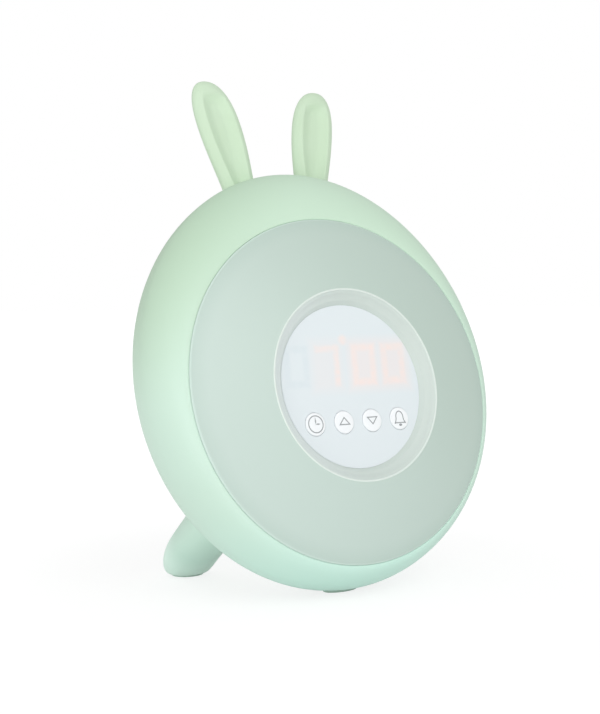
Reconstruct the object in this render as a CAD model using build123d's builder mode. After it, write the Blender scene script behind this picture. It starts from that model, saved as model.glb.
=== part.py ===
from build123d import *
import math
import os

os.makedirs("parts", exist_ok=True)

# Kids alarm clock with a night light. X runs right, Y back and Z up, in millimetres, with the
# origin on the table under the chin. The face leans back. On it u runs right, v up and w out.

# ------------------------------------------------------------------ driving dimensions
face_lean = 15.25  # degrees that the face leans back
opening_radius = 70.0  # round mouth of the front housing
lip_land = 0.6  # flat rim round the mouth

# The body is an egg drawn as a stack of ovals: widest at the belly, closing to a flat back.
side_margin = 10.4  # how far the belly stands out from the mouth at the sides
brow_margin = 25.1  # and at the top
chin_margin = 8.5  # and at the bottom
belly_depth = 17.6
body_depth = 52.0
tail_depth = 56.0  # where the rear curve would close to a point
front_power = 1.67
rear_power = 2.4
front_steps = 5  # ovals ahead of the belly
rear_steps = 6
oval_points = 12
shell_wall = 2.4
hollow_front = 4.8  # depth where the hollow starts behind the lip
seam_depth = 38.0
tongue_height = 3.0
tongue_wall = 1.2

# Seat of the diffuser in the mouth
seat_depth = 3.4
ledge_thickness = 4.0
ledge_width = 3.5
collar_wall = 2.4
fit_gap = 0.15  # between pieces pushed into each other

# Diffuser: a shallow dome with a dished ring round the display
dome_radius = 217.0
dome_wall = 2.2
dome_edge_drop = 0.5
ring_radius = 38.4
window_radius = 32.85
window_front = 3.8
window_thickness = 1.6
window_ledge_width = 1.95
window_ledge_thickness = 1.5
window_gap = 0.1
skirt_wall = 2.4
skirt_end = -8.0

# Keys under the display
key_radius = 4.5
key_pitch = 13.5
key_row_v = -14.35
key_proud = 0.8
key_hole_gap = 0.2
key_flange_radius = 5.6
key_flange_thickness = 0.8
key_flange_gap = 0.05
key_stem_radius = 1.6
key_round = 0.3
plunger_radius = 1.2
plunger_gap = 0.3
plunger_proud = 0.8
plunger_length = 1.5
plunger_well = 1.4
switch_size = 6.0
switch_height = 3.5

# Display module and its board
digit_module_width = 52.4
digit_module_height = 16.0
digit_module_thickness = 7.0
digit_module_gap = 0.3  # behind the window
digit_height = 14.2
digit_pitch = 14.0
digit_v = 7.7
digit_slant = 8.0
segment_pitch = 1.9  # width of a bar with its gap
segment_width = 1.5
segment_depth = 0.3
board_thickness = 1.6
display_board_radius = 32.4
board_post_circle = 30.7
board_post_radius = 2.4
board_post_angles = (90, 200, 340)

# Chassis that carries the lamp ring and the main board
chassis_depth = 20.0
chassis_thickness = 2.4
chassis_margin = 3.4  # beyond the mouth
chassis_post_radius = 3.2
chassis_post_count = 4
shield_radius = 38.6
shield_wall = 1.6
shield_height = 10.5
cable_hole_radius = 10.0
diffuser_post_inset = 7.0  # from the mouth
diffuser_post_radius = 2.6
diffuser_post_count = 3
diffuser_post_root = 0.8
lamp_board_inset = 12.0  # from the mouth
lamp_board_inner = 42.0
led_size = 5.0
led_height = 1.6
led_count = 12

main_board_width = 60.0
main_board_height = 44.0
main_board_v = 15.0
main_post_height = 5.6
main_post_radius = 3.0
main_post_inset = 4.0
chip_size = 10.0
chip_height = 1.6
ribbon_width = 12.0
ribbon_thickness = 0.6

# Screws: head radius, head height, shank radius, length
small_screw = (1.9, 1.3, 0.9, 4.5)
case_screw = (2.6, 1.7, 1.3, 8.0)
pilot_play = 0.02  # a screw bites its boss, so its pilot hole is only this much wider
screw_passage = 0.25  # round a shank that passes freely

# Posts that join the two housings
case_post_radius = 4.6
case_post_length = 12.0
case_post_inset = 5.6  # from the inner wall at the seam
case_post_angles = (42, 138, 200, 340)
case_well_radius = 3.2
case_well_floor = 2.6
rib_width = 2.4
rib_length = 14.0

# Ears: flattened horns with a scooped front. Heights are from the top of the body.
ear_root_u = 17.0
ear_tip_u = 27.65
ear_root_drop = 11.1
ear_wide_rise = 24.9
ear_tip_rise = 45.1
ear_w = -30.4
ear_root_half = 7.0
ear_wide_half = 10.4
ear_half_thickness = 4.6
ear_bend = 1.1
ear_swell_power = 1.7
ear_tip_power = 2.4
ear_low_steps = 5
ear_top_steps = 5
ear_last_turn = 82.0  # degrees round the tip where the sections stop
ear_rim = 2.6
ear_scoop = 2.3
ear_peg_u = 17.6
ear_peg_w = -29.3
ear_peg_radius = 3.0
ear_seat_drop = 14.6
ear_boss_radius = 5.0
washer_thickness = 1.0
washer_rim = 0.4

# Feet and pads
foot_inset = 39.8  # of the leg's axis from the side of the belly
foot_back = 53.6
foot_rake = 44.0
foot_pad_thickness = 1.0
foot_pad_inset = 0.9
# Ovals of a leg from the sole up: height or reach along its axis, tilt, how far the oval's centre
# stands out and back from the axis, half width, half length
sole_oval = (foot_pad_thickness, 0.0, -1.6, 5.2, 7.8, 6.6)
toe_ovals = ((2.6, 0.0, -1.0, 5.6, 9.6, 8.2), (5.2, 0.0, 0.0, 5.4, 11.0, 10.0))
leg_ovals = (
    (13.5, 8.0, 0.8, 5.2, 12.0, 11.0),
    (24.0, 30.0, 1.9, 3.4, 12.4, 11.0),
    (42.0, foot_rake, 0.0, 0.0, 12.3, 12.2),
)
foot_seat_reach = 45.5
foot_peg_radius = 3.2
foot_boss_radius = 5.0
chin_pad_width = 24.0
chin_pad_length = 12.0
chin_pad_proud = 0.8
chin_pad_sunk = 1.0
chin_pad_round = 0.5

# Back: battery bay, speaker and power socket
cell_radius = 5.25
cell_length = 44.5
cell_count = 3
cell_pitch = 11.2
bay_v = -6.5
bay_wall = 1.6
bay_end_gap = 1.5
bay_side_gap = 0.6
bay_floor_gap = 0.4
contact_thickness = 0.5
contact_size = 8.0
contact_bump_radius = 1.6
door_thickness = 1.6
door_overlap = 1.6
door_gap = 0.3
door_corner = 3.0
door_tab_radius = 5.0
door_boss_radius = 3.4
door_boss_height = 6.0
speaker_v = 31.5
speaker_radius = 15.0
speaker_depth = 7.0
speaker_rim = 1.2
speaker_wall = 1.6
speaker_gap = 0.2
magnet_radius = 8.0
clamp_thickness = 1.2
clamp_lap = 1.6
clamp_lug_radius = 3.0
clamp_lug_angles = (45, 135, 225, 315)
grille_hole_radius = 0.9
grille_pitch = 3.3
grille_rings = 3
socket_u = 31.0
socket_v = 22.0
socket_radius = 3.9
socket_flange_radius = 5.4
socket_flange_thickness = 1.2
socket_length = 12.0
socket_bore_radius = 2.8
socket_bore_depth = 9.0
socket_pin_radius = 0.9
socket_nut_radius = 6.0
socket_nut_thickness = 2.0
socket_gap = 0.05


# ------------------------------------------------------------------ the body's form
body_half_width = opening_radius + side_margin
body_half_height = opening_radius + (brow_margin + chin_margin) / 2
body_rise = (brow_margin - chin_margin) / 2  # the belly's centre above the mouth's centre
body_top = body_rise + body_half_height


def section(depth, wall=0.0):
    """Half width, half height and centre height of the body, or of its hollow, at a depth."""
    if depth < belly_depth:
        mouth = (opening_radius + collar_wall if wall else opening_radius) + lip_land
        run = (belly_depth - depth) / (belly_depth - (hollow_front if wall else 0))
        grow = (1 - run**front_power) ** (1 / front_power)
        wide = mouth + (body_half_width - wall - mouth) * grow
        high = mouth + (body_half_height - wall - mouth) * grow
        return wide, high, body_rise * grow
    run = (depth - belly_depth) / (tail_depth - wall - belly_depth)
    shrink = (1 - run**rear_power) ** (1 / rear_power)
    return (body_half_width - wall) * shrink, (body_half_height - wall) * shrink, body_rise


def section_depths(wall):
    """Depths of the ovals, closer together where the body turns faster."""
    front_run = belly_depth - (hollow_front if wall else 0)
    rear_run = tail_depth - wall - belly_depth
    depths = []
    for step in range(front_steps):
        turn = math.radians(90 * step / front_steps)
        depths.append(belly_depth - front_run * math.cos(turn) ** (2 / front_power))
    reach = (body_depth - wall - belly_depth) / rear_run
    last_turn = math.asin(reach ** (rear_power / 2))
    for step in range(rear_steps + 1):
        turn = last_turn * step / rear_steps
        depths.append(belly_depth + rear_run * math.sin(turn) ** (2 / rear_power))
    return depths


cos_lean = math.cos(math.radians(face_lean))
sin_lean = math.sin(math.radians(face_lean))


def chin_height(depth):
    """Height of the body's underside at a depth, from the mouth's centre."""
    half_width, half_height, rise = section(depth)
    return (rise - half_height) * cos_lean - depth * sin_lean


chin_step = 0.1
chin_depths = [belly_depth + i * chin_step for i in range(int((body_depth - belly_depth) / chin_step))]
chin_depth = min(chin_depths, key=chin_height)
chin_half_height, chin_rise = section(chin_depth)[1:]
face_z = chin_pad_proud - chin_height(chin_depth)
face_y = -((chin_rise - chin_half_height) * sin_lean + chin_depth * cos_lean)

face = Plane(origin=(0, face_y, face_z), x_dir=(1, 0, 0), z_dir=(0, -cos_lean, sin_lean))
half_section = Plane(origin=face.origin, x_dir=(1, 0, 0), z_dir=(0, -sin_lean, -cos_lean))
face_axis = Axis(face.origin, face.z_dir)


def oval(half_width, half_height, centre=(0, 0)):
    """Points round an ellipse from its top, for a closed spline."""
    turns = [2 * math.pi * i / oval_points for i in range(oval_points)]
    return [
        (centre[0] + half_width * math.sin(a), centre[1] + half_height * math.cos(a)) for a in turns
    ]


def body_form(wall=0.0):
    """The body's solid form, or with a wall the form of its hollow."""
    with BuildPart() as form:
        for depth in section_depths(wall):
            half_width, half_height, rise = section(depth, wall)
            with BuildSketch(face.offset(-depth)):
                with BuildLine():
                    Spline(*oval(half_width, half_height, (0, rise)), periodic=True)
                make_face()
        loft()
    return form.part


def finish(piece, name):
    """Names a piece and writes it."""
    piece.part.label = name
    export_step(piece.part, f"parts/{name}.step")


def screws(name, plane, points, size, side=-1):
    """A set of like screws seated on a plane, heads on its back (side -1) or front (side 1)."""
    head_radius, head_height, shank_radius, length = size
    with BuildPart() as group:
        with BuildSketch(plane):
            with Locations(*points):
                Circle(head_radius)
        extrude(amount=side * head_height)
        with BuildSketch(plane):
            with Locations(*points):
                Circle(shank_radius)
        extrude(amount=-side * length)
    finish(group, name)


def ring_points(radius, angles, centre=(0, 0)):
    """Points on a circle at the given angles."""
    turns = [math.radians(angle) for angle in angles]
    return [
        (centre[0] + radius * math.cos(turn), centre[1] + radius * math.sin(turn)) for turn in turns
    ]


outer_form = body_form()
inner_form = body_form(shell_wall)
mid_wall_form = body_form(shell_wall / 2)

# ------------------------------------------------------------------ places shared by pieces
ledge_bore = opening_radius - ledge_width
collar_radius = opening_radius + collar_wall
collar_root = hollow_front - lip_land
ledge_back = seat_depth + ledge_thickness
chassis_post_circle = ledge_bore + chassis_post_radius
chassis_radius = opening_radius + chassis_margin
diffuser_post_circle = opening_radius - diffuser_post_inset
lamp_board_outer = opening_radius - lamp_board_inset
chassis_points = ring_points(
    chassis_post_circle, [45 + 360 * i / chassis_post_count for i in range(chassis_post_count)]
)
diffuser_points = ring_points(
    diffuser_post_circle, [90 + 360 * i / diffuser_post_count for i in range(diffuser_post_count)]
)
board_points = ring_points(board_post_circle, board_post_angles)
module_front = window_front - window_thickness - digit_module_gap
board_front = module_front - digit_module_thickness
board_back = board_front - board_thickness

seam_half_width, seam_half_height, seam_rise = section(seam_depth, shell_wall)
case_points = [
    (
        (seam_half_width - case_post_inset) * math.cos(math.radians(angle)),
        seam_rise + (seam_half_height - case_post_inset) * math.sin(math.radians(angle)),
    )
    for angle in case_post_angles
]
seam = face.offset(-seam_depth)
inner_back = face.offset(-(body_depth - shell_wall))
outer_back = face.offset(-body_depth)

# Seats of the ears and of the feet: planes square to the pegs, facing inwards
ear_root_v = body_top - ear_root_drop
ear_wide_v = body_top + ear_wide_rise
ear_tip_v = body_top + ear_tip_rise
ear_seats = [
    Plane(
        origin=face.from_local_coords(Vector(side * ear_peg_u, body_top - ear_seat_drop, ear_peg_w)),
        x_dir=(1, 0, 0),
        z_dir=face.y_dir,
    )
    for side in (-1, 1)
]
foot_x = body_half_width - foot_inset
foot_axis = Vector(0, -math.sin(math.radians(foot_rake)), math.cos(math.radians(foot_rake)))


def foot_plane(side, reach, tilt=foot_rake, out=0.0, back=0.0):
    """A plane across a leg, a distance up its axis from the table."""
    centre = Vector(side * (foot_x + out), foot_back + back, 0) + foot_axis * reach
    lean = math.radians(tilt)
    return Plane(origin=centre, x_dir=(1, 0, 0), z_dir=(0, -math.sin(lean), math.cos(lean)))


foot_seats = [foot_plane(side, foot_seat_reach) for side in (-1, 1)]
ear_hole_radius = ear_peg_radius + fit_gap
foot_hole_radius = foot_peg_radius + fit_gap
chin_pocket_top = chin_pad_proud + chin_pad_sunk

# ------------------------------------------------------------------ front housing
# The case posts, their ribs and the ear bosses are clipped half way through the wall.
with BuildPart() as front_posts:
    with BuildSketch(seam):
        for point, angle in zip(case_points, case_post_angles):
            with Locations(point):
                Circle(case_post_radius)
                Rectangle(rib_length, rib_width, rotation=angle, align=(Align.MIN, Align.CENTER))
    extrude(amount=case_post_length)
    add(mid_wall_form, mode=Mode.INTERSECT)

with BuildPart() as ear_bosses:
    for seat in ear_seats:
        with BuildSketch(seat):
            Circle(ear_boss_radius)
        extrude(amount=ear_root_v)
    add(mid_wall_form, mode=Mode.INTERSECT)

with BuildPart() as front_housing:
    add(outer_form)
    split(bisect_by=seam, keep=Keep.TOP)
    add(inner_form, mode=Mode.SUBTRACT)
    with BuildSketch(face.offset(-collar_root)):
        Circle(collar_radius)
    extrude(amount=-(ledge_back - collar_root))
    with BuildSketch(face.offset(-ledge_back)):
        with Locations(*chassis_points):
            Circle(chassis_post_radius)
    extrude(amount=-(chassis_depth - ledge_back))
    add(front_posts.part)
    add(ear_bosses.part)
    with BuildSketch(face):
        Circle(opening_radius)
    extrude(amount=-seat_depth, mode=Mode.SUBTRACT)
    with BuildSketch(face):
        Circle(ledge_bore)
    extrude(amount=-ledge_back, mode=Mode.SUBTRACT)
    with BuildSketch(face.offset(-chassis_depth)):
        with Locations(*chassis_points):
            Circle(small_screw[2] + pilot_play)
    extrude(amount=small_screw[3], mode=Mode.SUBTRACT)
    with BuildSketch(seam):
        with Locations(*case_points):
            Circle(case_screw[2] + pilot_play)
    extrude(amount=case_screw[3], mode=Mode.SUBTRACT)
    for seat in ear_seats:
        with BuildSketch(seat):
            Circle(ear_hole_radius)
        extrude(amount=ear_root_v, mode=Mode.SUBTRACT)
    with BuildSketch(Plane.XY):
        Rectangle(chin_pad_width, chin_pad_length)
    extrude(amount=chin_pocket_top, mode=Mode.SUBTRACT)
finish(front_housing, "front_housing")

# ------------------------------------------------------------------ rear housing
bay_length = cell_length + 2 * bay_end_gap
bay_height = (cell_count - 1) * cell_pitch + 2 * cell_radius + 2 * bay_side_gap
bay_depth = 2 * cell_radius + 2 * bay_floor_gap + shell_wall
bay_floor = face.offset(-(body_depth - bay_depth))
door_width = bay_length + 2 * door_overlap
door_height = bay_height + 2 * door_overlap
door_screw_point = (0, bay_v - door_height / 2 - door_tab_radius / 2)
clamp_lugs = ring_points(
    speaker_radius + speaker_wall + clamp_lug_radius - speaker_gap,
    clamp_lug_angles,
    (0, speaker_v),
)
speaker_wall_radius = speaker_radius + speaker_gap + speaker_wall

with BuildPart() as rear_posts:
    with BuildSketch(seam):
        with Locations(*case_points):
            Circle(case_post_radius)
    extrude(amount=-case_post_length)
    for seat in foot_seats:
        with BuildSketch(seat):
            Circle(foot_boss_radius)
        extrude(amount=-case_post_length)
    add(mid_wall_form, mode=Mode.INTERSECT)

with BuildPart() as rear_housing:
    add(outer_form)
    split(bisect_by=seam, keep=Keep.BOTTOM)
    add(inner_form, mode=Mode.SUBTRACT)
    with BuildSketch(face.offset(-(seam_depth + tongue_wall))):
        with Locations((0, seam_rise)):
            Ellipse(seam_half_height - fit_gap, seam_half_width - fit_gap, rotation=90)
            Ellipse(
                seam_half_height - fit_gap - tongue_wall,
                seam_half_width - fit_gap - tongue_wall,
                rotation=90,
                mode=Mode.SUBTRACT,
            )
    extrude(amount=tongue_height + tongue_wall)
    # The tongue is notched where the front housing's posts and ribs stand
    with BuildSketch(seam):
        for point, angle in zip(case_points, case_post_angles):
            with Locations(point):
                Circle(case_post_radius + fit_gap)
                Rectangle(
                    rib_length, rib_width + 2 * fit_gap, rotation=angle, align=(Align.MIN, Align.CENTER)
                )
    extrude(amount=tongue_height, mode=Mode.SUBTRACT)
    add(rear_posts.part)
    # Battery bay: a box on the inside of the back, open to the rear
    with BuildSketch(bay_floor.offset(bay_wall)):
        with Locations((0, bay_v)):
            Rectangle(bay_length + 2 * bay_wall, bay_height + 2 * bay_wall)
    extrude(amount=-(bay_depth + bay_wall - shell_wall / 2))
    with BuildSketch(inner_back):
        with Locations(door_screw_point):
            Circle(door_boss_radius)
    extrude(amount=door_boss_height)
    with BuildSketch(inner_back):
        with Locations((0, speaker_v)):
            Circle(speaker_wall_radius)
        with Locations(*clamp_lugs):
            Circle(clamp_lug_radius)
        with Locations((0, speaker_v)):
            Circle(speaker_radius + speaker_gap, mode=Mode.SUBTRACT)
    extrude(amount=speaker_rim)
    with BuildSketch(bay_floor):
        with Locations((0, bay_v)):
            Rectangle(bay_length, bay_height)
    extrude(amount=-bay_depth, mode=Mode.SUBTRACT)
    with BuildSketch(outer_back):
        with Locations((0, bay_v)):
            RectangleRounded(door_width + 2 * door_gap, door_height + 2 * door_gap, door_corner)
        with Locations(door_screw_point):
            Circle(door_tab_radius + door_gap)
    extrude(amount=door_thickness, mode=Mode.SUBTRACT)
    with BuildSketch(outer_back):
        with Locations(door_screw_point):
            Circle(small_screw[2] + screw_passage)
    extrude(amount=shell_wall + door_boss_height - bay_wall, mode=Mode.SUBTRACT)
    # Case screws: a well from the back and a passage through its floor
    with BuildSketch(face.offset(-(seam_depth + case_well_floor))):
        with Locations(*case_points):
            Circle(case_well_radius)
    extrude(amount=-case_post_length, mode=Mode.SUBTRACT)
    with BuildSketch(seam):
        with Locations(*case_points):
            Circle(case_screw[2] + screw_passage)
    extrude(amount=-case_well_floor, mode=Mode.SUBTRACT)
    for seat in foot_seats:
        with BuildSketch(seat):
            Circle(foot_hole_radius)
        extrude(amount=-case_post_length, mode=Mode.SUBTRACT)
    with BuildSketch(outer_back):
        with Locations((socket_u, socket_v)):
            Circle(socket_radius + socket_gap)
    extrude(amount=shell_wall, mode=Mode.SUBTRACT)
    # Speaker grille: rings of holes
    with BuildSketch(outer_back):
        with Locations((0, speaker_v)):
            Circle(grille_hole_radius)
            for ring in range(1, grille_rings + 1):
                with PolarLocations(ring * grille_pitch, 6 * ring):
                    Circle(grille_hole_radius)
    extrude(amount=shell_wall, mode=Mode.SUBTRACT)
    with BuildSketch(inner_back.offset(speaker_rim)):
        with Locations(*clamp_lugs):
            Circle(small_screw[2] + pilot_play)
    extrude(amount=-speaker_rim, mode=Mode.SUBTRACT)
finish(rear_housing, "rear_housing")


# ------------------------------------------------------------------ ears
def ear_section(v, inset=0.0):
    """Centre u, half width and half thickness of an ear at a height up the face."""
    rise = (v - ear_root_v) / (ear_tip_v - ear_root_v)
    centre = ear_root_u + (ear_tip_u - ear_root_u) * rise**ear_bend
    if v < ear_wide_v:
        turn = math.pi / 2 * (v - ear_root_v) / (ear_wide_v - ear_root_v)
        swell = math.sin(turn) ** ear_swell_power
        return centre, ear_root_half + (ear_wide_half - ear_root_half) * swell - inset, 1.0
    run = (v - ear_wide_v) / (ear_tip_v - inset - ear_wide_v)
    close = (1 - run**ear_tip_power) ** (1 / ear_tip_power)
    return centre, (ear_wide_half - inset) * close, close


def ear_heights(inset=0.0):
    """Heights of the sections: even up the stalk, closer together round the tip."""
    heights = [
        ear_root_v + (ear_wide_v - ear_root_v) * step / ear_low_steps for step in range(ear_low_steps)
    ]
    for step in range(ear_top_steps + 1):
        turn = math.radians(ear_last_turn * step / ear_top_steps)
        heights.append(ear_wide_v + (ear_tip_v - inset - ear_wide_v) * math.sin(turn))
    return heights


for side, seat, name in zip((-1, 1), ear_seats, ("ear_left", "ear_right")):
    with BuildPart() as scoop:
        for v in ear_heights(ear_rim):
            centre, half_width, close = ear_section(v, ear_rim)
            middle = face.from_local_coords(Vector(side * centre, v, ear_w + ear_half_thickness))
            with BuildSketch(Plane(origin=middle, x_dir=(1, 0, 0), z_dir=face.y_dir)):
                with BuildLine():
                    Spline(*oval(half_width, ear_scoop * close), periodic=True)
                make_face()
        loft()
    with BuildPart() as ear:
        for v in ear_heights():
            centre, half_width, close = ear_section(v)
            middle = face.from_local_coords(Vector(side * centre, v, ear_w))
            with BuildSketch(Plane(origin=middle, x_dir=(1, 0, 0), z_dir=face.y_dir)):
                with BuildLine():
                    Spline(*oval(half_width, ear_half_thickness * close), periodic=True)
                make_face()
        loft()
        add(scoop.part, mode=Mode.SUBTRACT)
        add(outer_form, mode=Mode.SUBTRACT)
        with BuildSketch(seat):
            Circle(ear_peg_radius)
        extrude(amount=ear_seat_drop - ear_root_drop + 2 * ear_boss_radius)
        with BuildSketch(seat):
            Circle(case_screw[2] + pilot_play)
        extrude(amount=case_screw[3], mode=Mode.SUBTRACT)
    finish(ear, name)

with BuildPart() as ear_washers:
    for seat in ear_seats:
        with BuildSketch(seat):
            Circle(ear_boss_radius - washer_rim)
            Circle(case_screw[2] + screw_passage, mode=Mode.SUBTRACT)
        extrude(amount=-washer_thickness)
finish(ear_washers, "ear_washers")

with BuildPart() as ear_screws:
    for seat in ear_seats:
        with BuildSketch(seat.offset(-washer_thickness)):
            Circle(case_screw[0])
        extrude(amount=-case_screw[1])
        with BuildSketch(seat.offset(-washer_thickness)):
            Circle(case_screw[2])
        extrude(amount=case_screw[3])
finish(ear_screws, "ear_screws")

# ------------------------------------------------------------------ feet and pads
# A leg's sole is level, and its root is square to its raked axis.
level_ovals = [(oval_at[0] / foot_axis.Z, *oval_at[1:]) for oval_at in (sole_oval, *toe_ovals)]
foot_ovals = [*level_ovals, *leg_ovals]

for side, seat, name in zip((-1, 1), foot_seats, ("foot_left", "foot_right")):
    with BuildPart() as foot:
        for reach, tilt, out, back, half_width, half_length in foot_ovals:
            with BuildSketch(foot_plane(side, reach, tilt, out, back)):
                with BuildLine():
                    Spline(*oval(half_width, half_length), periodic=True)
                make_face()
        loft()
        add(outer_form, mode=Mode.SUBTRACT)
        with BuildSketch(seat):
            Circle(foot_peg_radius)
        extrude(amount=-case_post_length)
        with BuildSketch(seat):
            Circle(case_screw[2] + pilot_play)
        extrude(amount=-case_screw[3], mode=Mode.SUBTRACT)
    finish(foot, name)

with BuildPart() as foot_washers:
    for seat in foot_seats:
        with BuildSketch(seat):
            Circle(foot_boss_radius - washer_rim)
            Circle(case_screw[2] + screw_passage, mode=Mode.SUBTRACT)
        extrude(amount=washer_thickness)
finish(foot_washers, "foot_washers")

with BuildPart() as foot_screws:
    for seat in foot_seats:
        with BuildSketch(seat.offset(washer_thickness)):
            Circle(case_screw[0])
        extrude(amount=case_screw[1])
        with BuildSketch(seat.offset(washer_thickness)):
            Circle(case_screw[2])
        extrude(amount=-case_screw[3])
finish(foot_screws, "foot_screws")

with BuildPart() as foot_pads:
    for side in (-1, 1):
        sole = foot_plane(side, *foot_ovals[0][:4])
        with BuildSketch(sole):
            Ellipse(sole_oval[4] - foot_pad_inset, sole_oval[5] - foot_pad_inset)
        extrude(amount=-foot_pad_thickness)
finish(foot_pads, "foot_pads")

with BuildPart() as chin_pad:
    with BuildSketch(Plane.XY):
        Rectangle(chin_pad_width, chin_pad_length)
    extrude(amount=chin_pocket_top)
    fillet(chin_pad.faces().sort_by(Axis.Z)[0].edges(), chin_pad_round)
finish(chin_pad, "chin_pad")

# ------------------------------------------------------------------ diffuser
dome_base = math.sqrt(dome_radius**2 - opening_radius**2)


def dome(radius, wall=0.0):
    """Height of the dome's skin over the mouth, at a radius."""
    return math.sqrt((dome_radius - wall) ** 2 - radius**2) - dome_base


rim_radius = opening_radius - fit_gap
rim_inner = ledge_bore + collar_wall / 2
window_seat_radius = window_radius + window_gap
window_back = window_front - window_thickness
window_ledge_radius = window_seat_radius - window_ledge_width
skirt_inner = window_seat_radius
skirt_outer = skirt_inner + skirt_wall
dish_foot = skirt_outer + dome_wall

with BuildPart() as diffuser:
    with BuildSketch(half_section):
        with BuildLine():
            Polyline(
                (window_seat_radius, window_front),
                (window_seat_radius, window_back),
                (window_ledge_radius, window_back),
                (window_ledge_radius, window_back - window_ledge_thickness),
                (skirt_inner, window_back - window_ledge_thickness),
                (skirt_inner, skirt_end),
                (skirt_outer, skirt_end),
                (skirt_outer, window_back),
                (dish_foot, dome(dish_foot, dome_wall)),
            )
            middle = (dish_foot + rim_inner) / 2
            ThreePointArc(
                (dish_foot, dome(dish_foot, dome_wall)),
                (middle, dome(middle, dome_wall)),
                (rim_inner, dome(rim_inner, dome_wall)),
            )
            Polyline(
                (rim_inner, dome(rim_inner, dome_wall)),
                (rim_inner, -seat_depth),
                (rim_radius, -seat_depth),
                (rim_radius, dome(rim_radius) - dome_edge_drop),
            )
            middle = (rim_radius + ring_radius) / 2
            ThreePointArc(
                (rim_radius, dome(rim_radius) - dome_edge_drop),
                (middle, dome(middle)),
                (ring_radius, dome(ring_radius)),
            )
            Line((ring_radius, dome(ring_radius)), (window_seat_radius, window_front))
        make_face()
    revolve(axis=face_axis)
    with BuildSketch(face.offset(-chassis_depth)):
        with Locations(*diffuser_points):
            Circle(diffuser_post_radius)
    extrude(amount=chassis_depth + diffuser_post_root)
    with BuildSketch(face.offset(board_front)):
        with Locations(*board_points):
            Circle(board_post_radius)
    extrude(amount=window_back - window_ledge_thickness - board_front)
    with BuildSketch(face.offset(-chassis_depth)):
        with Locations(*diffuser_points):
            Circle(small_screw[2] + pilot_play)
    extrude(amount=small_screw[3], mode=Mode.SUBTRACT)
    with BuildSketch(face.offset(board_front)):
        with Locations(*board_points):
            Circle(small_screw[2] + pilot_play)
    extrude(amount=small_screw[3], mode=Mode.SUBTRACT)
finish(diffuser, "diffuser")

# ------------------------------------------------------------------ display window and keys
key_names = ("time", "up", "down", "alarm")
key_points = [((i - 1.5) * key_pitch, key_row_v) for i in range(len(key_names))]
flange_top = window_back - key_flange_gap
flange_back = flange_top - key_flange_thickness
switch_top = board_front + switch_height
plunger_top = switch_top + plunger_proud

with BuildPart() as display_window:
    with BuildSketch(face.offset(window_back)):
        Circle(window_radius)
        with Locations(*key_points):
            Circle(key_radius + key_hole_gap, mode=Mode.SUBTRACT)
    extrude(amount=window_thickness)
finish(display_window, "display_window")

for key_name, point in zip(key_names, key_points):
    with BuildPart() as key:
        with BuildSketch(face.offset(flange_back)):
            with Locations(point):
                Circle(key_flange_radius)
        extrude(amount=key_flange_thickness)
        with BuildSketch(face.offset(flange_top)):
            with Locations(point):
                Circle(key_radius)
        extrude(amount=window_front + key_proud - flange_top)
        fillet(key.faces().sort_by(face_axis)[-1].edges(), key_round)
        with BuildSketch(face.offset(plunger_top)):
            with Locations(point):
                Circle(key_stem_radius)
        extrude(amount=flange_back - plunger_top)
    finish(key, f"{key_name}_key")

    with BuildPart() as plunger:
        with BuildSketch(face.offset(plunger_top)):
            with Locations(point):
                Circle(plunger_radius)
        extrude(amount=-plunger_length)
    finish(plunger, f"{key_name}_plunger")

with BuildPart() as tact_switches:
    with BuildSketch(face.offset(board_front)):
        with Locations(*key_points):
            Rectangle(switch_size, switch_size)
    extrude(amount=switch_height)
    with BuildSketch(face.offset(switch_top)):
        with Locations(*key_points):
            Circle(plunger_radius + plunger_gap)
    extrude(amount=-plunger_well, mode=Mode.SUBTRACT)
finish(tact_switches, "tact_switches")

# ------------------------------------------------------------------ display module
with BuildPart() as display_board:
    with BuildSketch(face.offset(board_back)):
        Circle(display_board_radius)
        with Locations(*board_points):
            Circle(small_screw[2] + screw_passage, mode=Mode.SUBTRACT)
    extrude(amount=board_thickness)
finish(display_board, "display_board")
screws("display_board_screws", face.offset(board_back), board_points, small_screw)


# Seven bars make a digit: a top, b and c right, d bottom, e and f left, g middle.
def lit_bars(digit):
    """Names of the bars that show a digit."""
    return {0: "abcdef", 7: "abc"}[digit]


bar_length = (digit_height - segment_pitch) / 2
bar_out = digit_height / 4 - segment_pitch / 4
bar_places = {
    "a": (0, bar_length, 0),
    "b": (bar_out, digit_height / 4, 90),
    "c": (bar_out, -digit_height / 4, 90),
    "d": (0, -bar_length, 0),
    "e": (-bar_out, -digit_height / 4, 90),
    "f": (-bar_out, digit_height / 4, 90),
    "g": (0, 0, 0),
}
slant = math.tan(math.radians(digit_slant))
with BuildPart() as digit_segments:
    with BuildSketch(face.offset(module_front - segment_depth)):
        for place, digit in ((-0.5, 7), (0.5, 0), (1.5, 0)):
            for bar in lit_bars(digit):
                across, up, turn = bar_places[bar]
                if turn:
                    turn -= digit_slant
                with Locations((place * digit_pitch + across + up * slant, digit_v + up)):
                    SlotOverall(bar_length, segment_width, rotation=turn)
        for up in (-digit_height / 5, digit_height / 5):
            with Locations((up * slant, digit_v + up)):
                Circle(segment_width / 2)
    extrude(amount=segment_depth)
finish(digit_segments, "digit_segments")

with BuildPart() as digit_module:
    with BuildSketch(face.offset(board_front)):
        with Locations((0, digit_v)):
            Rectangle(digit_module_width, digit_module_height)
    extrude(amount=digit_module_thickness)
    add(digit_segments.part, mode=Mode.SUBTRACT)
finish(digit_module, "digit_module")

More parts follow.
